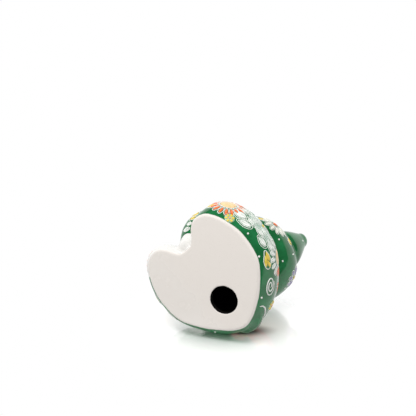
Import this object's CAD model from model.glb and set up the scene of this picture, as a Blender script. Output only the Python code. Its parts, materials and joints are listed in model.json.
"""Looks of a seated porcelain cat figurine: green glaze, raised enamel flowers, a plain pale floor.

Lengths in the tables are millimetres in the part's own frame: the cat sits on z = 0 and faces -Y.
"""

import json
import math
from itertools import product

import bmesh
import bpy
from bpy.props import FloatProperty, FloatVectorProperty, IntProperty, PointerProperty
from mathutils import Matrix, Vector
from mathutils.bvhtree import BVHTree


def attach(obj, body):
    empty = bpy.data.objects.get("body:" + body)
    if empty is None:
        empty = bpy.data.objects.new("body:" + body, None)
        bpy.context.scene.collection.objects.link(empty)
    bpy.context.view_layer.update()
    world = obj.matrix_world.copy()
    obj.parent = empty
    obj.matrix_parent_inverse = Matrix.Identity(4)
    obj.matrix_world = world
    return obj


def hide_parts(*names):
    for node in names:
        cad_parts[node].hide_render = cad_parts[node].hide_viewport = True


bl_info = {
    "name": "Porcelain Cat Figurine",
    "version": (1, 0, 0),
    "blender": (4, 5, 0),
    "location": "View3D > Sidebar > Figurine",
    "description": "A glazed porcelain cat with raised enamel flowers, on a pale floor",
    "category": "Object",
}

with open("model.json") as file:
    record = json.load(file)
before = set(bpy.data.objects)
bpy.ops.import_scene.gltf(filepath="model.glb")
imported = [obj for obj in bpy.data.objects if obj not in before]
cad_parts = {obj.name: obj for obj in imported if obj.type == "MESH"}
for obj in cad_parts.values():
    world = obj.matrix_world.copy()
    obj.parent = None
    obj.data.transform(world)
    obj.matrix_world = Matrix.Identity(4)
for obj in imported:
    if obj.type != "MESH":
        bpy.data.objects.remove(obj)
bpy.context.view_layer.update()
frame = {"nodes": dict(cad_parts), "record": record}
bpy.ops.object.select_all(action="DESELECT")

MM = 0.001
CASTINGS = ("body", "head", "ear_left", "ear_right", "raised_arm", "resting_arm", "tail")

# The drain hole and the dark behind it, in millimetres. A face of the skin is inside where it
# lies nearer to the hollow than to the outside by half a wall
HOLE_RADIUS = 8.1
HOLE_DEPTH = 8.0
CEILING_HEIGHT = 20.0
HALF_WALL = 1.6

# Heights in metres between which the bare foot gives way: to its rim, to the glaze and to gloss
PALE_RIM = (0.0002, 0.0009)
GLAZE_LINE = (0.0008, 0.0011)
GLOSS_LINE = (0.0003, 0.0009)

# Painted zones: centre, radii, unevenness of the edge, colour, and whether a dark line borders it
PAINTED_ZONES = [
    ((0, -21, 61), (21, 16, 19), 0.05, "milk", True),
    ((1, -22, 0), (10.5, 12, 10), 0.04, "milk", True),
    ((-19, -31, 2), (17, 16, 17), 0.06, "milk", False),
    ((-13, -25, 9), (6.5, 7, 7), 0.0, "milk", False),
    ((-28.5, -10, 80), (12, 13, 13), 0.08, "milk", True),
    ((15.6, 6.0, 81.5), (4.6, 9.0, 8.0), 0.06, "red", False),
    ((-15.6, 6.0, 81.5), (4.6, 9.0, 8.0), 0.06, "red", False),
]

# Layout of the ornament: the nearest point of the skin carries each motif.
# A chrysanthemum a row: place, radius, turn, the angles between which it has petals, and those
# between which it has a fan of white ones
CHRYSANTHEMUMS = [
    ((32, -22.8, 13.9), 11.6, 9, (0, 360), ()),
    ((33.2, 17.4, 19.2), 11, 0, (-48, 150), (168, 313)),
    ((24, 28.4, 25.2), 9.2, 0, (-100, 140), ()),
    ((-29.5, -26, 13.5), 10, -9, (0, 360), ()),
    ((-38, -6.6, 16.5), 9.6, 0, (0, 360), ()),
    ((0, 40, 28), 10, 5, (0, 360), ()),
]
# The middle of a peony, and which side of the cat it is drawn for
PEONIES = [
    ((38.5, -1.3, 15.9), 1),
    ((-33.6, 16.5, 19), -1),
]
# One petal of a peony a row: middle, length, width and the turn of its long axis
PEONY_PETALS = [
    (-12.6, -6.8, 8.4, 6.2, 186), (-7.8, -10.3, 9, 4.2, 16), (-5.6, -5.8, 6.2, 3.8, 165),
    (1.6, -5.6, 7, 3.4, 8), (6.6, -8.4, 7.4, 4.2, 10), (10.6, -3.6, 7.4, 4.2, -10),
    (-4.4, -1.8, 5.6, 3.4, 214), (2.4, -1.6, 5.4, 3.2, -42), (7.6, 0.4, 5.6, 3.4, 10),
    (-12.8, 0, 8.2, 5.8, 172), (-10.4, 5.4, 7.4, 5.4, 140), (-4.2, 9.4, 7.4, 5.6, 105),
    (3.4, 9.6, 7.4, 5.6, 72), (9.8, 5.4, 7, 5.4, 36), (-8.4, 1, 5.4, 4, 176),
    (-4.6, 4.6, 5.4, 3.8, 125), (1.8, 5.2, 5.4, 3.8, 78),
]
# Place, radius, colour of the petals, colour of the heart, turn and number of petals
BLOSSOMS = [
    ((24.2, 2.4, 64), 9.8, "ivory", "orange", 4, 12),
    ((14, 35, 62), 7.4, "violet", "yellow", 20, 9),
    ((-14, 35, 62), 7.4, "violet", "yellow", -20, 9),
    ((0, 34, 74), 6.4, "ivory", "orange", 0, 9),
    ((-13, 37, 15.5), 4.2, "salmon", "yellow", 0, 9),
    ((20, -17, 33), 5.6, "ivory", "orange", 10, 9),
    ((-38, -1, 58), 5.8, "ivory", "orange", 0, 9),
    ((-14, -16, 36), 5.2, "orange", "yellow", 0, 9),
    ((-25, 10, 62), 7.6, "ivory", "orange", 12, 9),
]
# Place, radius and turn
BUDS = [
    ((32, -15.8, 3.3), 3, 0),
    ((14.4, 36, 13.6), 3.4, 90),
    ((30, 4, 38), 3, 60),
    ((-24, 18, 42), 3, 60),
]
# Place, length and turn
LEAVES = [
    ((33.4, 14.6, 6), 10.6, 0),
    ((-37.8, -5, 5), 8, 0),
    ((25, -28, 9.5), 6, 60),
    ((-25, -28, 9.5), 6, -60),
    ((24.6, 15.4, 64.2), 6, -35),
    ((20.8, -5.6, 59.2), 5, 20),
    ((8.2, -30, 20.6), 5.4, 24),
    ((6.8, -29.2, 17.8), 4.8, 14),
    ((-33, 4, 40), 7, 10),
    ((11, 40, 22), 6.4, 60),
    ((-11, 40, 22), 6.4, -60),
    ((30.5, 9, 32), 7, 20),
    ((-24, 24, 31), 7, -20),
]
# Place, length, height and turn
SPIRALS = [
    ((24.4, 27, 7.6), 12.2, 7.2, 0),
    ((-37.6, 6.4, 6.8), 10, 6.4, 180),
    ((4.4, -27.8, 14.8), 3.4, 2.6, 0),
    ((2.1, -26.1, 12.2), 5, 3, 0),
    ((0, 31, 44), 9, 5, 0),
]
# Place, length and turn
HOOKS = [
    ((20, 30, 42), 7, 60),
    ((-20, 30, 42), 7, 120),
    ((-10, -24, 26), 6, 80),
]
# Lines through places on the skin: colour, width and the places
STROKES = [
    ("salmon", 0.7, [(30.4, -19.1, 3.1), (31.4, -18.8, 4.4), (32.1, -18.4, 5.3), (32.8, -18.1, 6.4),
                     (33.7, -17.6, 8.1), (34.6, -17.1, 9.8)]),
    ("white", 0.95, [(13.8, 32.4, 2.9), (14.5, 33.2, 4.6), (14.1, 34.5, 6.3), (12.8, 35.7, 7.6),
                     (10.9, 37.1, 8.8), (8.6, 38.2, 9.6)]),
]
DOTS = [
    (18, 28.9, 2.8), (32.4, 10.2, 2), (35.2, -3.2, 3.2), (24.4, 10.6, 54.4),
    (19.7, 21.9, 50.1), (23.1, 20.7, 83.8), (-18, 28.9, 2.8), (-32.4, 10.2, 2),
    (-35.2, -3.2, 3.2), (-19.7, 21.9, 50.1), (-23.1, 20.7, 83.8), (8, 37, 55),
    (-8, 37, 55), (11.5, 34.4, 56.4), (-11.5, 34.4, 56.4),
    (24, 8, 38), (-26, 10, 34), (14, 36, 36),
    (-14, 36, 36), (6, 24, 82), (-6, 24, 82), (-32, -4, 70),
    (-33, 8, 48), (23, 22.7, 60.2), (-20, 24, 74), (26, -2, 34),
]

CHRYSANTHEMUM_PETALS = 17
HEART_SHARE = 0.41
FAN_STEP = 24

# How strongly flat artwork is wrapped: the radius of the ball that it is drawn round
FLOWER_BEND = 24.0
BLOSSOM_BEND = 22.0
PEONY_BEND = 30.0
DOT_BEND = 26.0
PAW_BEND = 12.0
# How far outside that ball the search for the skin starts, and how long it is
SEARCH_START = 6.0
SEARCH_LENGTH = 14.0

# Rings of a cushion's soft shoulder: how far each one rises and draws in
SHOULDER = ((0.72, 0.95), (0.36, 0.84), (0.15, 0.62))
# A petal's root: beyond each place on its long axis, its width is multiplied by a share
ROOT_TAPER = ((-0.2, 0.84), (-0.5, 0.78), (-0.8, 0.70))


def number_property(name, description, default, low, high, **settings):
    """A number on the panel."""
    return FloatProperty(
        name=name, description=description, default=default, min=low, max=high, **settings)


def length_property(name, description, default, low, high):
    """A small length on the panel. The numbers are millimetres."""
    return number_property(
        name, description, default * MM, low * MM, high * MM, unit="LENGTH", precision=5)


def colour_property(name, description, default):
    """A colour on the panel, in linear light."""
    return FloatVectorProperty(
        name=name, description=description, default=default, size=3, min=0, max=1, subtype="COLOR")


class FigurineSizes(bpy.types.PropertyGroup):
    """Sizes of the glaze skin and of the raised enamel."""

    skin_step: length_property("Skin step", "Fineness of the glazed skin", 0.84, 0.4, 2)
    seam_fill: length_property(
        "Seam fill", "How far the slip swells the castings to close their seams", 0.24, 0.1, 0.5)
    glaze_flow: IntProperty(
        name="Glaze flow", description="Rounds of smoothing that the glaze gives the skin",
        default=9, min=1, max=40)
    petal_height: length_property(
        "Petal height", "How far a filled petal stands proud of the glaze", 0.42, 0.1, 1)
    line_width: length_property("Line width", "Width of the usual lines of enamel", 0.5, 0.2, 1)
    dot_radius: length_property("Dot radius", "Radius of the enamel dots", 0.62, 0.3, 1.5)


class FigurineColours(bpy.types.PropertyGroup):
    """Colours of the glaze and of the enamels."""

    green: colour_property("Green glaze", "Overglaze green of the body", (0.013, 0.185, 0.058))
    deep_green: colour_property(
        "Deep green", "The green where it lies thick", (0.003, 0.105, 0.026))
    milk: colour_property("White glaze", "Clear glaze on white porcelain", (0.80, 0.785, 0.755))
    cream: colour_property("Base cream", "Unpainted base", (0.775, 0.725, 0.675))
    white: colour_property("White enamel", "White petals, lines and dots", (0.84, 0.86, 0.81))
    orange: colour_property("Orange enamel", "Chrysanthemum petals", (0.86, 0.17, 0.035))
    peach: colour_property("Peach enamel", "Chrysanthemum hearts", (0.90, 0.61, 0.29))
    yellow: colour_property("Yellow enamel", "Leaves and flower hearts", (0.78, 0.58, 0.06))
    salmon: colour_property("Salmon enamel", "Small petals and arcs", (0.85, 0.32, 0.22))
    violet: colour_property("Violet enamel", "Blossoms on the back of the head", (0.33, 0.30, 0.50))
    ivory: colour_property("Ivory enamel", "Petals of the small blossoms", (0.84, 0.84, 0.74))
    sage: colour_property("Sage wash", "Thin wash under the peonies", (0.32, 0.47, 0.37))
    leaf_green: colour_property(
        "Leaf green", "Fine lines drawn on the white petals", (0.03, 0.22, 0.09))
    pale_green: colour_property("Pale green enamel", "Ground of the buds", (0.36, 0.56, 0.34))
    red: colour_property("Red enamel", "Collar, ears and mouth", (0.55, 0.035, 0.02))
    gold: colour_property("Gold lustre", "Bell and eyes", (0.72, 0.42, 0.09))
    ink: colour_property(
        "Black enamel", "Eye lines, pupils and whiskers", (0.012, 0.011, 0.012))


class StageSettings(bpy.types.PropertyGroup):
    """Camera, lamps and floor."""

    lens: number_property("Lens", "Focal length of the camera in millimetres", 93.46, 20, 300)
    distance: number_property(
        "Distance", "Camera distance from the base", 0.6, 0.2, 3, unit="LENGTH")
    sky: number_property("Sky light", "Strength of the even light from all round", 0.72, 0, 3)
    key: number_property("Key light", "Power of the large soft lamp, in watts", 1.9, 0, 50)
    floor_gloss: number_property("Floor gloss", "Share of the floor's mirror image", 0.3, 0, 1)


def sizes():
    return bpy.context.scene.figurine_sizes


def colour_of(kind):
    """One of the figurine's colours, as a tuple."""
    return tuple(getattr(bpy.context.scene.figurine_colours, kind))


# Node helpers


class Nodes:
    """Adds nodes to one node tree and joins them, left to right."""

    def __init__(self, tree):
        self.tree = tree

    def add(self, kind, inputs=None, **settings):
        node = self.tree.nodes.new(kind)
        for name, value in settings.items():
            setattr(node, name, value)
        self.fit(node.inputs, inputs or {})
        return node

    def fit(self, sockets, values):
        """Links or sets several sockets of a node by their names or places."""
        for key, value in values.items():
            self.feed(value, sockets[key])

    def feed(self, value, socket):
        if isinstance(value, bpy.types.NodeSocket):
            self.tree.links.new(value, socket)
        elif isinstance(value, (tuple, list, Vector)) and socket.type == "RGBA":
            socket.default_value = (*value[:3], 1)
        else:
            socket.default_value = value

    def group(self, tree, inputs):
        """The outputs of a node group that is fed with these inputs."""
        return self.add("ShaderNodeGroup", inputs, node_tree=tree).outputs

    def math(self, operation, a, b=None, clamp=False):
        inputs = {0: a} if b is None else {0: a, 1: b}
        return self.add("ShaderNodeMath", inputs, operation=operation, use_clamp=clamp).outputs[0]

    def plus(self, a, b, clamp=False):
        return self.math("ADD", a, b, clamp)

    def minus(self, a, b):
        return self.math("SUBTRACT", a, b)

    def times(self, a, b):
        return self.math("MULTIPLY", a, b)

    def vector(self, operation, a, b=None):
        inputs = {0: a} if b is None else {0: a, 1: b}
        output = "Value" if operation in ("LENGTH", "DOT_PRODUCT") else "Vector"
        return self.add("ShaderNodeVectorMath", inputs, operation=operation).outputs[output]

    def mix(self, share, a, b):
        inputs = {"Factor": share, 6: a, 7: b}
        return self.add("ShaderNodeMix", inputs, data_type="RGBA").outputs[2]

    def step(self, value, low, high):
        """Rises smoothly from 0 at the low value to 1 at the high one."""
        inputs = {0: value, 1: low, 2: high}
        return self.add("ShaderNodeMapRange", inputs, interpolation_type="SMOOTHSTEP").outputs[0]

    def rest_of(self, share):
        return self.minus(1.0, share)

    def noise(self, where, scale, detail=2.0, roughness=0.5):
        inputs = {"Vector": where, "Scale": scale, "Detail": detail, "Roughness": roughness}
        return self.add("ShaderNodeTexNoise", inputs).outputs["Fac"]

    def bump(self, shader, height, strength, distance):
        inputs = {"Height": height, "Strength": strength, "Distance": distance}
        self.feed(self.add("ShaderNodeBump", inputs).outputs[0], shader.inputs["Normal"])


def fresh_nodes(owner):
    """Turns on the nodes of a material or a world, and empties them."""
    owner.use_nodes = True
    owner.node_tree.nodes.clear()
    return Nodes(owner.node_tree)


def new_group(name, inputs, outputs):
    """An empty shader node group: (group, nodes, the values it is given, those it gives)."""
    group = bpy.data.node_groups.new(name, "ShaderNodeTree")
    for label, kind, default in inputs:
        socket = group.interface.new_socket(label, in_out="INPUT", socket_type=kind)
        if default is not None:
            socket.default_value = default
    for label in outputs:
        group.interface.new_socket(label, in_out="OUTPUT", socket_type="NodeSocketFloat")
    nodes = Nodes(group)
    return group, nodes, nodes.add("NodeGroupInput").outputs, nodes.add("NodeGroupOutput").inputs


def glaze_zone_group():
    """A painted zone: 1 inside a round place on the piece, with a brushed, scalloped edge."""
    name = "Glaze zone"
    if name in bpy.data.node_groups:
        return bpy.data.node_groups[name]
    group, n, given, sink = new_group(
        name,
        [
            ("Place", "NodeSocketVector", None),
            ("Centre", "NodeSocketVector", None),
            ("Radii", "NodeSocketVector", None),
            ("Wobble", "NodeSocketFloat", 0.05),
            ("Soft edge", "NodeSocketFloat", 0.02),
        ],
        ["Inside", "Edge line"],
    )
    offset = n.vector("SUBTRACT", given["Place"], given["Centre"])
    reach = n.vector("LENGTH", n.vector("DIVIDE", offset, given["Radii"]))
    waves = n.minus(n.noise(given["Place"], 260.0, 1.0), 0.5)
    reach = n.plus(reach, n.times(waves, given["Wobble"]))
    outer = n.plus(1.0, given["Soft edge"])
    beyond_line = n.step(reach, outer, n.plus(outer, 0.04))
    n.fit(sink, {
        "Inside": n.rest_of(n.step(reach, 1.0, outer)),
        "Edge line": n.minus(n.step(reach, 0.97, 1.0), beyond_line)})
    return group


def fired_gloss_group():
    """The look of fired glass: slow cloudiness, pin-point pits and a slightly rippled surface."""
    name = "Fired gloss"
    if name in bpy.data.node_groups:
        return bpy.data.node_groups[name]
    group, n, given, sink = new_group(
        name,
        [("Place", "NodeSocketVector", None), ("Base roughness", "NodeSocketFloat", 0.1)],
        ["Cloud", "Roughness", "Height"],
    )
    fine = n.noise(given["Place"], 900.0, 2.0)
    ripple = n.noise(given["Place"], 220.0, 1.0)
    spread = n.times(n.minus(fine, 0.5), 0.06)
    n.fit(sink, {
        "Cloud": n.noise(given["Place"], 70.0, 3.0, 0.55),
        "Roughness": n.plus(given["Base roughness"], spread, clamp=True),
        "Height": n.plus(n.times(ripple, 0.8), n.times(fine, 0.08))})
    return group


def new_material(name):
    """A material with one shader: (material, nodes, shader, place on the piece)."""
    material = bpy.data.materials.new(name)
    n = fresh_nodes(material)
    shader = n.add("ShaderNodeBsdfPrincipled")
    n.add("ShaderNodeOutputMaterial", {0: shader.outputs[0]})
    return material, n, shader, n.add("ShaderNodeTexCoord").outputs["Object"]


def enamel(name, colour, rough=0.16, metallic=0.0):
    """Raised fired enamel: its colour thins and pools a little over the stroke."""
    if name in bpy.data.materials:
        return bpy.data.materials[name]
    material, n, shader, place = new_material(name)
    gloss = n.group(fired_gloss_group(), {"Place": place, "Base roughness": rough})
    deep = tuple(0.75 * c for c in colour)
    pale = tuple(min(1.0, c + (1 - c) * 0.12) for c in colour)
    pooled = n.mix(n.step(n.noise(place, 420.0, 2.0), 0.34, 0.66), deep, pale)
    n.fit(shader.inputs, {
        "Base Color": n.mix(0.55, colour, pooled), "Roughness": gloss["Roughness"],
        "Metallic": metallic, "IOR": 1.5})
    n.bump(shader, gloss["Height"], 0.12, 0.0004)
    return material


def enamel_of(kind):
    """The enamel of a colour that the ornament tables name."""
    if kind == "gold":
        return enamel("enamel_gold", colour_of(kind), rough=0.22, metallic=0.55)
    return enamel("enamel_" + kind, colour_of(kind))


# Mesh helpers


def select_only(*objects):
    """Selects some objects and nothing else. The first of them is the active one."""
    bpy.ops.object.select_all(action="DESELECT")
    for obj in objects:
        obj.select_set(True)
    bpy.context.view_layer.objects.active = objects[0]


def copy_of(obj, name):
    """A copy of an object with a mesh of its own, its loose triangles joined."""
    twin = obj.copy()
    twin.data = obj.data.copy()
    twin.name = name
    twin.parent = None
    for key in list(twin.keys()):
        if key.startswith("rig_"):
            del twin[key]
    bpy.context.scene.collection.objects.link(twin)
    select_only(twin)
    bpy.ops.object.mode_set(mode="EDIT")
    bpy.ops.mesh.select_all(action="SELECT")
    bpy.ops.mesh.remove_doubles(threshold=0.00001)
    bpy.ops.object.mode_set(mode="OBJECT")
    return twin


def apply_modifier(obj, kind, **settings):
    bpy.context.view_layer.objects.active = obj
    modifier = obj.modifiers.new(kind.title(), kind)
    for key, value in settings.items():
        setattr(modifier, key, value)
    bpy.ops.object.modifier_apply(modifier=modifier.name)


def resample(obj, step, rounds):
    """An even new surface, softened as a coat of glaze softens it."""
    apply_modifier(obj, "REMESH", mode="VOXEL", voxel_size=step, adaptivity=0.0)
    apply_modifier(obj, "SMOOTH", factor=0.5, iterations=rounds)


def tree_of(mesh):
    """A search tree over the faces of a mesh."""
    faces = [tuple(p.vertices) for p in mesh.polygons]
    return BVHTree.FromPolygons([v.co for v in mesh.vertices], faces)


def set_materials(obj, *materials):
    obj.data.materials.clear()
    for material in materials:
        obj.data.materials.append(material)


def finish_piece(obj):
    """Smooth shading, the body it rides on and the slot of its finish."""
    for polygon in obj.data.polygons:
        polygon.use_smooth = True
    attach(obj, "root")


def mesh_piece(name, verts, faces, material):
    mesh = bpy.data.meshes.new(name)
    mesh.from_pydata([tuple(v) for v in verts], [], faces)
    mesh.update()
    obj = bpy.data.objects.new(name, mesh)
    bpy.context.scene.collection.objects.link(obj)
    set_materials(obj, material)
    finish_piece(obj)


def piped_lines(name, runs, material):
    """Round lines of enamel, half sunk in the glaze, thinning to their ends."""
    data = bpy.data.curves.new(name, "CURVE")
    data.dimensions = "3D"
    data.bevel_depth = 0.5 * MM
    data.bevel_resolution = 1
    data.use_fill_caps = True
    for points, closed, width in runs:
        spline = data.splines.new("POLY")
        spline.points.add(len(points) - 1)
        spline.use_cyclic_u = closed
        last = max(len(points) - 1, 1)
        for i, point in enumerate(points):
            share = 1.0 if closed else 0.45 + 0.55 * math.sin(math.pi * i / last) ** 0.5
            spline.points[i].co = (*point, 1)
            spline.points[i].radius = width * share
    piece = bpy.data.objects.new(name, data)
    bpy.context.scene.collection.objects.link(piece)
    select_only(piece)
    bpy.ops.object.convert(target="MESH")
    piece = bpy.context.view_layer.objects.active
    set_materials(piece, material)
    finish_piece(piece)


# Enamel laid on the glazed skin


class Skin:
    """The finished surface of the castings, to lay enamel on."""

    def __init__(self, obj):
        self.tree = tree_of(obj.data)

    def settle(self, at, verts, bend, turn=0.0, lift=0.0):
        """Wraps flat artwork, drawn in millimetres round (0, 0), over the skin at a place."""
        spot, normal, _, _ = self.tree.find_nearest(Vector(at) * MM)
        up = Vector((0, 0, 1)) - normal * normal.z
        if up.length < 0.2:
            up = Vector((0, -1, 0)) - normal * -normal.y
        up.normalize()
        side = up.cross(normal)
        angle = math.radians(turn)
        across = side * math.cos(angle) + up * math.sin(angle)
        along = up * math.cos(angle) - side * math.sin(angle)
        hub = spot - normal * bend * MM
        laid = []
        for x, y, z in verts:
            reach = math.hypot(x, y)
            tilt = reach / bend
            way = normal.copy()
            if reach > 1e-6:
                flat = (across * x + along * y) / reach
                way = normal * math.cos(tilt) + flat * math.sin(tilt)
            start = hub + way * (bend + SEARCH_START) * MM
            hit, face_normal, _, _ = self.tree.ray_cast(start, -way, SEARCH_LENGTH * MM)
            if hit is None:
                hit, face_normal, _, _ = self.tree.find_nearest(hub + way * bend * MM)
            laid.append(hit + face_normal * (z + lift) * MM)
        return laid


class Artwork:
    """Enamel of several colours, gathered motif by motif and made one piece for each colour."""

    def __init__(self):
        self.skin = Skin(bpy.data.objects["porcelain"])
        self.fills = {}
        self.lines = {}

    def fill(self, colour, shape, spots, at, height=None, lift=0.0, **place):
        """Sets copies of a modelled shape: one (x, y, length, width, turn) in millimetres each."""
        rise = height or sizes().petal_height / MM
        verts, faces = self.fills.setdefault(colour, ([], []))
        for spot in spots:
            flat = [(*set_down(spot, px, py), pz * rise) for px, py, pz in shape[0]]
            start = len(verts)
            verts.extend(self.skin.settle(at, flat, lift=lift, **place))
            faces.extend([tuple(start + i for i in f) for f in shape[1]])

    def trail(self, colour, paths, at, closed=False, width=None, lift=0.0, **place):
        """Trails lines of enamel along flat paths."""
        width = width or sizes().line_width / MM
        for path in paths:
            points = self.skin.settle(at, [(x, y, lift) for x, y in path], **place)
            self.lines.setdefault(colour, []).append((points, closed, width))

    def outline(self, spots, margin, width, **place):
        """Trails a white line round each petal."""
        lines = outlines_of(spots, 2 * margin, 2 * margin)
        self.trail("white", lines, closed=True, width=width, **place)

    def white_petals(self, shape, spots, **place):
        """Sets white petals, each with a fine green line inside its edge."""
        self.fill("white", shape, spots, height=0.42, **place)
        inner = outlines_of(spots, -1.5, -1.3)
        self.trail("leaf_green", inner, closed=True, width=0.2, lift=0.31, **place)

    def disc(self, colour, shape, size, **place):
        """Sets one round shape, with the same size both ways, in the middle."""
        self.fill(colour, shape, [(0, 0, size, size, 0)], **place)

    def stroke(self, colour, width, places, lift=0.12):
        """Trails a line of enamel through places on the skin."""
        points = []
        for place in places:
            spot, normal, _, _ = self.skin.tree.find_nearest(Vector(place) * MM)
            points.append(spot + normal * lift * MM)
        self.lines.setdefault(colour, []).append((points, False, width))

    def make(self, stem):
        for colour, (verts, faces) in self.fills.items():
            mesh_piece(stem + "_" + colour, verts, faces, enamel_of(colour))
        for colour, runs in self.lines.items():
            piped_lines(stem + "_" + colour + "_line", runs, enamel_of(colour))


# Shapes of enamel that repeat: modelled once, one unit in radius and height, and read back


def set_down(spot, px, py):
    """Where a point of a shape of unit radius comes to lie when the shape is set on a spot."""
    x, y, length, width, turn = spot
    c, s = math.cos(math.radians(turn)), math.sin(math.radians(turn))
    u, v = 0.5 * length * px, 0.5 * width * py
    return x + c * u - s * v, y + s * u + c * v


def take_shape():
    """Ends edit mode, and turns the active object into (vertices, faces)."""
    bpy.ops.object.mode_set(mode="OBJECT")
    piece = bpy.context.active_object
    mesh = piece.data
    shape = ([tuple(v.co) for v in mesh.vertices], [tuple(p.vertices) for p in mesh.polygons])
    bpy.data.objects.remove(piece)
    return shape


def narrow_root(limit, share):
    """In edit mode, draws together across its width the part of a petal below a limit on x."""
    piece = bpy.context.edit_object
    bpy.ops.mesh.select_all(action="DESELECT")
    edit = bmesh.from_edit_mesh(piece.data)
    for vertex in edit.verts:
        vertex.select = vertex.co.x < limit
    edit.select_flush_mode()
    bmesh.update_edit_mesh(piece.data)
    bpy.ops.transform.resize(value=(1, share, 1), center_override=(0, 0, 0))


def start_cushion(around):
    """A low round cushion with a soft shoulder, left in edit mode."""
    bpy.ops.object.select_all(action="DESELECT")
    bpy.ops.mesh.primitive_circle_add(
        vertices=around, radius=1.0, fill_type="NGON", location=(0, 0, -0.3))
    bpy.ops.object.transform_apply(location=True)
    bpy.ops.object.mode_set(mode="EDIT")
    bpy.ops.mesh.select_all(action="SELECT")
    for rise, share in SHOULDER:
        bpy.ops.mesh.extrude_region_move(TRANSFORM_OT_translate={"value": (0, 0, rise)})
        bpy.ops.transform.resize(value=(share, share, 1), center_override=(0, 0, 0))
    bpy.ops.mesh.poke()
    bpy.ops.mesh.select_all(action="SELECT")
    bpy.ops.mesh.normals_make_consistent(inside=False)


def cushion_shape(around=16):
    start_cushion(around)
    return take_shape()


def petal_shape(around=16):
    """A petal that is narrow at its root, at -x, and broad towards its tip."""
    start_cushion(around)
    for limit, share in ROOT_TAPER:
        narrow_root(limit, share)
    return take_shape()


def petal_line(spot, points=16):
    """The outline of a petal of the same form as petal_shape."""
    path = []
    for i in range(points):
        a = 2 * math.pi * i / points
        u, v = math.cos(a), math.sin(a)
        for limit, share in ROOT_TAPER[:2]:
            v *= share if u < limit else 1
        path.append(set_down(spot, u, v))
    return path


def petal_spot(turn, radius, length, width):
    """A petal at an angle round a flower's heart, pointing outwards."""
    a = math.radians(turn)
    return radius * math.cos(a), radius * math.sin(a), length, width, turn


def ring_of(count, radius, length, width, shift=0.0):
    """Petals set evenly round a flower's heart."""
    return [petal_spot(shift + 360 * i / count, radius, length, width) for i in range(count)]


def outlines_of(spots, longer, wider):
    """The outlines of petals that are so much longer and wider than these."""
    return [petal_line((x, y, length + longer, width + wider, turn))
            for x, y, length, width, turn in spots]


def circle_line(radius, points=28):
    turns = [2 * math.pi * i / points for i in range(points)]
    return [(radius * math.cos(turn), radius * math.sin(turn)) for turn in turns]


# Operators: castings


class FIGURINE_OT_castings(bpy.types.Operator):
    """Fuses the castings into one glazed skin, with the creases softened by the glaze"""

    bl_idname = "figurine.castings"
    bl_label = "Glazed Castings"

    def execute(self, context):
        parts = [copy_of(frame["nodes"][name], "part_" + name) for name in CASTINGS]
        for part in parts:
            apply_modifier(part, "DISPLACE", strength=sizes().seam_fill, mid_level=0.0)
        select_only(*parts)
        bpy.ops.object.join()
        skin = bpy.context.view_layer.objects.active
        skin.name = skin.data.name = "porcelain"
        resample(skin, sizes().skin_step, sizes().glaze_flow)
        level_base(skin)
        drain = drain_middle()
        set_materials(skin, glaze_material(drain), hollow_material())
        mark_hollow(skin, drain)
        finish_piece(skin)
        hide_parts(*CASTINGS)
        return {"FINISHED"}


def drain_middle():
    """The middle of the drain hole, which the record names as an opening."""
    for opening in frame["record"]["physics"]["openings"]:
        if opening["name"] == "drain_hole":
            return [sum(pair) / 2 for pair in zip(*opening["box_m"])]
    raise RuntimeError("the record has no opening drain_hole")


def level_base(skin):
    """The foot rim is ground flat, so nothing of the base lies below z = 0."""
    for vertex in skin.data.vertices:
        if vertex.co.z < 0.12 * MM:
            vertex.co.z = 0.0


def wall_trees():
    """Search trees over the castings' own faces: those that look into the hollow, and the rest.

    A face looks into the hollow where no straight way from it leads out of the piece.
    """
    verts, faces = [], []
    for name in CASTINGS:
        mesh = frame["nodes"][name].data
        start = len(verts)
        verts += [v.co.copy() for v in mesh.vertices]
        faces += [tuple(start + i for i in p.vertices) for p in mesh.polygons]
    tree = BVHTree.FromPolygons(verts, faces)
    ways = [Vector(way).normalized() for way in product((-1, 0, 1), repeat=3)
            if sum(map(abs, way)) in (1, 3)]
    inner, outer = [], []
    for face in faces:
        a, b, c = (verts[i] for i in face[:3])
        normal = (b - a).cross(c - a).normalized()
        start = (a + b + c) / 3 + normal * 0.05 * MM
        open_out = any(
            way.dot(normal) > 0.15 and tree.ray_cast(start, way)[0] is None for way in ways)
        (outer if open_out else inner).append(face)
    return BVHTree.FromPolygons(verts, inner), BVHTree.FromPolygons(verts, outer)


def mark_hollow(skin, drain):
    """Gives the dark finish to the skin's faces inside the wall and down the drain hole."""
    inner, outer = wall_trees()
    walls = tree_of(skin.data)
    for polygon in skin.data.polygons:
        place, normal = polygon.center, polygon.normal
        inside = inner.find_nearest(place)[3] + HALF_WALL * MM < outer.find_nearest(place)[3]
        ceiling = normal.z < -0.5 and place.z > CEILING_HEIGHT * MM
        enclosed = ceiling or walls.ray_cast(place + normal * 0.05 * MM, normal)[0] is not None
        off_axis = math.hypot(place.x - drain[0], place.y - drain[1])
        down_hole = 0.1 * MM < place.z < HOLE_DEPTH * MM and off_axis < (HOLE_RADIUS - 0.2) * MM
        polygon.material_index = 1 if inside and enclosed or down_hole else 0


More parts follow.
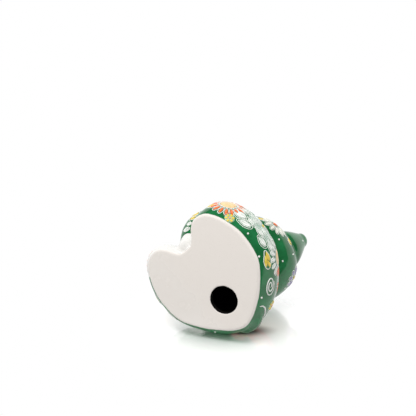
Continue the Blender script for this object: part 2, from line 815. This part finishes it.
def glaze_material(drain):
    """Green overglaze, with white glaze at the face, paws and feet, the cream base and its hole."""
    material, n, shader, place = new_material("green_glaze")
    gloss = n.group(fired_gloss_group(), {"Place": place, "Base roughness": 0.07})
    thin = n.step(gloss["Cloud"], 0.3, 0.72)
    colour = n.mix(thin, colour_of("deep_green"), colour_of("green"))
    for centre, radii, wobble, paint, edged in PAINTED_ZONES:
        zone = n.group(glaze_zone_group(), {
            "Place": place, "Centre": [v * MM for v in centre],
            "Radii": [v * MM for v in radii], "Wobble": wobble})
        if edged:
            colour = n.mix(zone["Edge line"], colour, (0.002, 0.05, 0.015))
        colour = n.mix(zone["Inside"], colour, colour_of(paint))

    # The bare foot, higher and lower along its edge, and higher on the -x side
    parts = n.add("ShaderNodeSeparateXYZ", {0: place}).outputs
    wander = n.times(n.minus(n.noise(place, 120.0, 2.0), 0.5), 0.0007)
    higher = n.times(n.step(parts["X"], -0.002, -0.018), 0.0006)
    level = n.plus(n.plus(parts["Z"], wander), higher)
    speck = n.step(n.noise(place, 1500.0, 1.0), 0.68, 0.74)
    bare = n.mix(n.times(speck, 0.35), colour_of("cream"), (0.55, 0.48, 0.42))
    pale_rim = tuple(0.7 * c + 0.3 * m for c, m in zip(colour_of("cream"), colour_of("milk")))
    rim = n.mix(n.step(level, *PALE_RIM), bare, pale_rim)
    colour = n.mix(n.step(level, *GLAZE_LINE), rim, colour)

    # The drain hole is dark down to its sharp rim
    flat = n.vector("MULTIPLY", n.vector("SUBTRACT", place, (drain[0], drain[1], 0)), (1, 1, 0))
    off_axis = n.vector("LENGTH", flat)
    past_rim = n.step(off_axis, (HOLE_RADIUS + 0.05) * MM, (HOLE_RADIUS + 0.15) * MM)
    solid = n.math("MAXIMUM", past_rim, n.step(parts["Z"], 0.005, 0.006))
    colour = n.mix(solid, (0.003, 0.003, 0.003), colour)

    dull = n.rest_of(n.step(level, *GLOSS_LINE))
    rough = n.plus(gloss["Roughness"], n.times(dull, 0.3))
    n.fit(shader.inputs, {"Base Color": colour, "Roughness": rough, "IOR": 1.55})
    n.bump(shader, gloss["Height"], 0.1, 0.0005)
    return material


def hollow_material():
    """The dark inside, seen through the drain hole."""
    material, n, shader, place = new_material("dark_hollow")
    dark = n.mix(n.noise(place, 300.0, 3.0), (0.004, 0.004, 0.004), (0.012, 0.011, 0.010))
    n.fit(shader.inputs, {"Base Color": dark, "Roughness": 0.9, "Specular IOR Level": 0.1})
    return material


def trim_piece(node, name, step, rounds, colour):
    """A small solid of its own, resampled and softened, in one enamel."""
    piece = copy_of(frame["nodes"][node], name)
    resample(piece, step * MM, rounds)
    set_materials(piece, enamel_of(colour))
    finish_piece(piece)
    return piece


class FIGURINE_OT_collar(bpy.types.Operator):
    """Makes the glazed collar cord below the head"""

    bl_idname = "figurine.collar"
    bl_label = "Collar"

    def execute(self, context):
        piece = trim_piece("collar", "collar_cord", 0.4, 6, "red")
        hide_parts("collar")
        return {"FINISHED"}


class FIGURINE_OT_bell(bpy.types.Operator):
    """Makes the gilded bell at the front of the collar"""

    bl_idname = "figurine.bell"
    bl_label = "Bell"

    def execute(self, context):
        piece = trim_piece("bell", "gilded_bell", 0.25, 4, "gold")
        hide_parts("bell")
        return {"FINISHED"}


# Operators: ornament


class FIGURINE_OT_chrysanthemums(bpy.types.Operator):
    """Lays the orange chrysanthemums with peach hearts and white outlines"""

    bl_idname = "figurine.chrysanthemums"
    bl_label = "Chrysanthemums"

    def execute(self, context):
        art = Artwork()
        petal, blade, cushion = petal_shape(), petal_shape(10), cushion_shape(28)
        for at, radius, turn, (low, high), fan in CHRYSANTHEMUMS:
            place = {"at": at, "turn": turn, "bend": FLOWER_BEND}
            heart = HEART_SHARE * radius
            long = radius - heart - 1.5
            petals = ring_of(CHRYSANTHEMUM_PETALS, heart + 1.0 + 0.5 * long, long, 1.75)
            petals = [p for p in petals if (p[4] - low) % 360 <= high - low]
            if fan:
                spots = [petal_spot(angle, 0.76 * radius, 0.54 * radius, 0.30 * radius)
                         for angle in range(*fan, FAN_STEP)]
                art.white_petals(blade, spots, **place)
            art.fill("orange", petal, petals, **place)
            art.outline(petals, 0.54, 0.42, **place)
            art.disc("peach", cushion, 2 * heart, height=0.5, **place)
            art.trail("white", [circle_line(heart + 0.3)], closed=True, **place)
        art.make("chrysanthemum")
        return {"FINISHED"}


class FIGURINE_OT_peonies(bpy.types.Operator):
    """Lays the large white peonies along the haunches"""

    bl_idname = "figurine.peonies"
    bl_label = "Peonies"

    def execute(self, context):
        art = Artwork()
        blade, cushion = petal_shape(10), cushion_shape(28)
        for at, side in PEONIES:
            place = {"at": at, "bend": PEONY_BEND}
            spots = [(side * x, y, length, width, turn if side > 0 else 180 - turn)
                     for x, y, length, width, turn in PEONY_PETALS]
            art.fill("sage", cushion, [(0, 0.5, 22, 16, 0)], height=0.16, **place)
            art.white_petals(blade, spots, **place)
            veins = []
            for x, y, length, width, turn in spots:
                a = math.radians(turn)
                veins.append([(x + t * length * math.cos(a), y + t * length * math.sin(a))
                              for t in (-0.36, -0.2, -0.04, 0.12)])
            art.trail("sage", veins, width=0.26, lift=0.38, **place)
            art.outline(spots, 0.75, 0.36, **place)
            art.fill("yellow", cushion, [(0, 1.6, 2.2, 1.8, 0)], height=0.6, **place)
        art.make("peony")
        return {"FINISHED"}


class FIGURINE_OT_blossoms(bpy.types.Operator):
    """Lays the small blossoms and the yellow-green buds"""

    bl_idname = "figurine.blossoms"
    bl_label = "Blossoms and Buds"

    def execute(self, context):
        art = Artwork()
        petal, cushion = petal_shape(), cushion_shape()
        for at, radius, colour, heart, turn, count in BLOSSOMS:
            place = {"at": at, "turn": turn, "bend": BLOSSOM_BEND}
            petals = ring_of(count, 0.64 * radius, 0.58 * radius, 2.7 / count * radius)
            art.fill(colour, petal, petals, **place)
            art.outline(petals, 0.5, 0.36, **place)
            art.disc(heart, cushion, 0.34 * radius, height=0.6, **place)
            seeds = ring_of(8, 0.27 * radius, 0.5, 0.5, 20)
            art.fill("white", cushion, seeds, height=0.4, **place)
        for at, radius, turn in BUDS:
            place = {"at": at, "turn": turn, "bend": FLOWER_BEND}
            art.disc("pale_green", cushion, 2 * radius, height=0.3, **place)
            blobs = ring_of(6, 0.62 * radius, 0.6 * radius, 0.5 * radius, 30)
            art.fill("yellow", cushion, blobs, height=0.4, lift=0.2, **place)
            art.disc("salmon", cushion, 0.4 * radius, height=0.4, lift=0.25, **place)
        art.make("blossom")
        return {"FINISHED"}


class FIGURINE_OT_leaves(bpy.types.Operator):
    """Lays the yellow leaves, the white spirals, the hooked scrolls and the free strokes"""

    bl_idname = "figurine.leaves"
    bl_label = "Leaves and Scrolls"

    def execute(self, context):
        art = Artwork()
        petal = petal_shape()
        for at, length, turn in LEAVES:
            place = {"at": at, "turn": turn, "bend": FLOWER_BEND}
            edge = petal_line((0, 0, length, 0.54 * length, 0), 24)
            art.trail("white", [edge], closed=True, **place)
            blobs = [(-0.16 * length, 0.09 * length, 0.54 * length, 0.24 * length, 12),
                     (0.04 * length, -0.11 * length, 0.62 * length, 0.22 * length, -8),
                     (0.24 * length, 0.08 * length, 0.40 * length, 0.2 * length, 20)]
            art.fill("yellow", petal, blobs, **place)
        for at, length, height, turn in SPIRALS:
            path = []
            for i in range(64):
                angle = 2 * math.pi * 2.3 * i / 63
                share = 0.14 + 0.86 * i / 63
                path.append((0.5 * length * share * math.cos(angle),
                             0.5 * height * share * math.sin(angle)))
            art.trail("white", [path], at, width=0.82, turn=turn, bend=FLOWER_BEND)
        for at, length, turn in HOOKS:
            path = []
            for i in range(24):
                t = i / 23
                angle = math.radians(200 - 230 * t)
                reach = 0.5 * length * (0.42 + 0.58 * t)
                path.append((reach * math.cos(angle), 0.62 * reach * math.sin(angle)))
            art.trail("white", [path], at, width=0.7, turn=turn, bend=FLOWER_BEND)
        for stroke in STROKES:
            art.stroke(*stroke)
        art.make("scroll")
        return {"FINISHED"}


class FIGURINE_OT_dots(bpy.types.Operator):
    """Lays the white enamel dots on the plain green"""

    bl_idname = "figurine.dots"
    bl_label = "Dots"

    def execute(self, context):
        art = Artwork()
        size = 2 * sizes().dot_radius / MM
        bead = cushion_shape()
        for at in DOTS:
            art.disc("white", bead, size, at=at, bend=DOT_BEND, height=0.5)
        art.make("dots")
        return {"FINISHED"}


class FIGURINE_OT_face(bpy.types.Operator):
    """Paints a calm cat's face and the red lines of the raised paw"""

    bl_idname = "figurine.face"
    bl_label = "Face"

    def execute(self, context):
        art = Artwork()
        cushion = cushion_shape(20)
        face = {"at": (0, -16, 60.5), "bend": FLOWER_BEND}
        for side in (-1, 1):
            art.fill("gold", cushion, [(side * 8.6, 4.2, 7.6, 4.6, side * 10)], height=0.25, **face)
            eye = petal_line((side * 8.6, 4.2, 7.8, 4.8, side * 10), 24)
            art.trail("ink", [eye], closed=True, lift=0.08, **face)
            pupil, glint = (side * 8.3, 4.2, 2.0, 3.8, 0), (side * 8.3 + 0.5, 5.2, 0.9, 0.9, 0)
            art.fill("ink", cushion, [pupil], height=0.2, lift=0.2, **face)
            art.fill("white", cushion, [glint], height=0.2, lift=0.42, **face)
            brow = [(side * (5.4 + 1.1 * i), 8.4 + 1.5 * math.sin(math.pi * i / 6))
                    for i in range(7)]
            art.trail("ink", [brow], width=0.7, **face)
            mouth = [(side * 2.2 * (1 - math.cos(math.pi * i / 8)),
                      -5.2 - 1.6 * math.sin(math.pi * i / 8)) for i in range(9)]
            art.trail("red", [mouth], **face)
            whiskers = [[(side * (8.4 + 1.6 * i),
                          -2.4 - 2.0 * k - 0.05 * i * i + 0.45 * i * (1 - k))
                         for i in range(6)] for k in range(3)]
            art.trail("ink", whiskers, width=0.34, **face)
        toes = [[(x, 0.3 * i - 0.04 * x * x) for i in range(11)] for x in (-3.4, 0.0, 3.4)]
        art.trail("red", toes, at=(-28.0, -20.0, 82.0), width=0.4, bend=PAW_BEND)
        nose, below_nose = (0, -1.9, 3.4, 2.2, 0), [(0, -2.8 - 0.45 * i) for i in range(6)]
        art.fill("red", cushion, [nose], height=0.6, **face)
        art.trail("red", [below_nose], width=0.45, **face)
        art.make("face")
        return {"FINISHED"}


# Operator: stage


# The camera's own ways in the photograph, and the way up from the floor that the cat lies on
RIGHT = Vector((0.6966, 0.6125, 0.3737))
ABOVE = Vector((0.5654, -0.7892, 0.2396))
BACK = Vector((0.4417, 0.0444, -0.8961))
FLOOR_UP = (ABOVE * 0.951 + BACK * 0.309).normalized()
# The point that the lamps are turned to
AIM = Vector((0, 0.005, 0.045))
# What the camera looks at: so far to the right and up from the middle of the base, in metres
SIGHT_RIGHT, SIGHT_UP = 0.002083, 0.03713
FLOOR_REACH = 0.16
FLOOR_TONE = (0.93, 0.93, 0.92)
# The dark place under the cat: half its length and depth in metres, and its shift along the
# floor as a share of that half length
CONTACT_LENGTH, CONTACT_DEPTH, CONTACT_SHIFT = 0.024, 0.011, 0.55


def frame_matrix(x_way, y_way, z_way, place):
    turn = Matrix((x_way, y_way, z_way)).transposed().to_4x4()
    return Matrix.Translation(place) @ turn


def contact_clearance(n, offset, x_way, y_way):
    """0 where the cat touches the floor, rising to 1 round about."""
    along = n.vector("DOT_PRODUCT", offset, tuple(x_way))
    along = n.minus(n.math("DIVIDE", along, CONTACT_LENGTH), CONTACT_SHIFT)
    deep = n.vector("DOT_PRODUCT", offset, tuple(y_way))
    deep = n.math("DIVIDE", deep, CONTACT_DEPTH)
    squares = n.plus(n.times(along, along), n.times(deep, deep))
    return n.step(n.math("SQRT", squares), 0.25, 1.0)


def floor_material(name, hub, x_way, y_way, gloss, grounded):
    """Pale glossy floor, seen from its upper side only, that fades into the background.

    A grounded floor is dark at the contact and is mirrored by the glaze there. It is seen only
    from a low angle, as in the photograph, so that it is clear when the cat is looked at upright.
    """
    material = bpy.data.materials.new(name)
    n = fresh_nodes(material)
    place = n.add("ShaderNodeTexCoord").outputs["Object"]
    offset = n.vector("SUBTRACT", place, tuple(hub))
    reach = n.vector("LENGTH", offset)
    glow_share = n.step(reach, 0.06 * FLOOR_REACH, 0.22 * FLOOR_REACH)
    glow_share = n.times(glow_share, 0.26)
    tone = FLOOR_TONE
    ray = n.add("ShaderNodeLightPath").outputs
    seen = ray["Is Camera Ray"]
    if grounded:
        clearance = contact_clearance(n, offset, x_way, y_way)
        tone = n.mix(clearance, (0.01, 0.01, 0.01), tone)
        glow_share = n.times(glow_share, clearance)
        gloss = n.times(gloss, n.plus(0.2, n.times(0.8, clearance)))
        facing = n.add("ShaderNodeLayerWeight", {"Blend": 0.5}).outputs["Facing"]
        low_angle = n.times(seen, n.step(facing, 0.42, 0.52))
        seen = n.math("MAXIMUM", low_angle, ray["Is Glossy Ray"])
    matt = n.add("ShaderNodeBsdfDiffuse", {"Color": tone})
    mirror = n.add("ShaderNodeBsdfGlossy", {"Color": (1, 1, 1), "Roughness": 0.05})
    glow = n.add("ShaderNodeEmission", {"Color": (1, 1, 1), "Strength": glow_share})
    body = n.add("ShaderNodeMixShader", {0: gloss, 1: matt.outputs[0], 2: mirror.outputs[0]})
    lit = n.add("ShaderNodeAddShader", {0: body.outputs[0], 1: glow.outputs[0]})
    clear = n.add("ShaderNodeBsdfTransparent")
    near = n.rest_of(n.step(reach, 0.24 * FLOOR_REACH, 0.46 * FLOOR_REACH))
    front = n.rest_of(n.add("ShaderNodeNewGeometry").outputs["Backfacing"])
    share = n.times(n.times(near, front), seen)
    final = n.add("ShaderNodeMixShader", {0: share, 1: clear.outputs[0], 2: lit.outputs[0]})
    n.add("ShaderNodeOutputMaterial", {0: final.outputs[0]})
    return material


class FIGURINE_OT_stage(bpy.types.Operator):
    """Sets the camera, the soft lamps, the pale floor and the white background"""

    bl_idname = "figurine.stage"
    bl_label = "Stage"

    def execute(self, context):
        settings = context.scene.figurine_stage
        make_camera(settings)
        make_floors(settings)
        key_place = FLOOR_UP * 0.42 + BACK * 0.20 - RIGHT * 0.10
        make_lamp("key_lamp", key_place, size=0.30, power=settings.key)
        make_lamp("top_lamp", Vector((0.05, -0.05, 0.45)), size=0.25, power=0.35 * settings.key)
        make_world(settings)
        context.scene.view_settings.view_transform = "Standard"
        return {"FINISHED"}


def make_camera(settings):
    data = bpy.data.cameras.new("photo_camera")
    data.lens = settings.lens
    data.sensor_width = 36.0
    data.clip_start = 0.01
    camera = bpy.data.objects.new("photo_camera", data)
    place = RIGHT * SIGHT_RIGHT + ABOVE * SIGHT_UP + BACK * settings.distance
    camera.matrix_world = frame_matrix(RIGHT, ABOVE, BACK, place)
    bpy.context.scene.collection.objects.link(camera)
    bpy.context.scene.camera = camera


def make_lamp(name, place, size, power):
    data = bpy.data.lights.new(name, "AREA")
    data.shape = "DISK"
    data.size = size
    data.energy = power
    lamp = bpy.data.objects.new(name, data)
    lamp.visible_glossy = False
    turn = (place - AIM).normalized().to_track_quat("Z", "Y").to_matrix().to_4x4()
    lamp.matrix_world = Matrix.Translation(place) @ turn
    bpy.context.scene.collection.objects.link(lamp)


def make_floors(settings):
    """The sheet that the cat lies against in the photograph, and the table under it upright."""
    skin = bpy.data.objects["porcelain"].data
    contact = min(skin.vertices, key=lambda v: FLOOR_UP.dot(v.co)).co
    hub = contact - FLOOR_UP * 0.0002
    side = (RIGHT - FLOOR_UP * RIGHT.dot(FLOOR_UP)).normalized()
    for name, centre, x_way, z_way, grounded in (
        ("rest_sheet", hub, side, FLOOR_UP, True),
        ("table_top", Vector((0, 0.005, -0.0002)), Vector((1, 0, 0)), Vector((0, 0, 1)), False),
    ):
        bpy.ops.mesh.primitive_plane_add(size=2 * FLOOR_REACH)
        sheet = bpy.context.active_object
        sheet.name = name
        y_way = z_way.cross(x_way)
        sheet.data.transform(frame_matrix(x_way, y_way, z_way, centre))
        white = floor_material(
            name + "_white", centre, x_way, y_way, settings.floor_gloss, grounded)
        set_materials(sheet, white)


def make_world(settings):
    """White behind the figurine, even light on it, and a darker room for the glaze to mirror."""
    world = bpy.data.worlds.new("studio")
    n = fresh_nodes(world)
    way = n.add("ShaderNodeTexCoord").outputs["Generated"]
    room = (BACK * 0.75 + FLOOR_UP * 0.65).normalized()
    dim = n.step(n.vector("DOT_PRODUCT", way, tuple(room)), -0.02, 0.10)
    mirrored = n.mix(dim, (1, 1, 1), (0.16, 0.16, 0.16))
    ray = n.add("ShaderNodeLightPath").outputs
    even = n.mix(ray["Is Glossy Ray"], (settings.sky,) * 3, mirrored)
    shown = n.mix(ray["Is Camera Ray"], even, (1, 1, 1))
    light = n.add("ShaderNodeBackground", {"Color": shown, "Strength": 1.0})
    n.add("ShaderNodeOutputWorld", {0: light.outputs[0]})
    bpy.context.scene.world = world


class FIGURINE_PT_panel(bpy.types.Panel):
    """Lists the figurine's sizes, colours and steps."""

    bl_idname = "FIGURINE_PT_panel"
    bl_label = "Figurine"
    bl_space_type = "VIEW_3D"
    bl_region_type = "UI"
    bl_category = "Figurine"

    def draw(self, context):
        layout = self.layout
        for _, owner in GROUPS:
            group = getattr(context.scene, owner)
            box = layout.box()
            for name in group.__annotations__:
                box.prop(group, name)
        for operator in OPERATORS:
            layout.operator(operator.bl_idname)


OPERATORS = (
    FIGURINE_OT_castings,
    FIGURINE_OT_collar,
    FIGURINE_OT_bell,
    FIGURINE_OT_chrysanthemums,
    FIGURINE_OT_peonies,
    FIGURINE_OT_blossoms,
    FIGURINE_OT_leaves,
    FIGURINE_OT_dots,
    FIGURINE_OT_face,
    FIGURINE_OT_stage,
)
GROUPS = (
    (FigurineSizes, "figurine_sizes"),
    (FigurineColours, "figurine_colours"),
    (StageSettings, "figurine_stage"),
)


def register():
    for group, name in GROUPS:
        bpy.utils.register_class(group)
        setattr(bpy.types.Scene, name, PointerProperty(type=group))
    for operator in OPERATORS:
        bpy.utils.register_class(operator)
    bpy.utils.register_class(FIGURINE_PT_panel)


def unregister():
    bpy.utils.unregister_class(FIGURINE_PT_panel)
    for operator in reversed(OPERATORS):
        bpy.utils.unregister_class(operator)
    for group, name in reversed(GROUPS):
        delattr(bpy.types.Scene, name)
        bpy.utils.unregister_class(group)


def main():
    register()
    bpy.ops.figurine.castings()
    bpy.ops.figurine.collar()
    bpy.ops.figurine.bell()
    bpy.ops.figurine.chrysanthemums()
    bpy.ops.figurine.peonies()
    bpy.ops.figurine.blossoms()
    bpy.ops.figurine.leaves()
    bpy.ops.figurine.dots()
    bpy.ops.figurine.face()
    bpy.ops.figurine.stage()


if __name__ == "__main__":
    main()
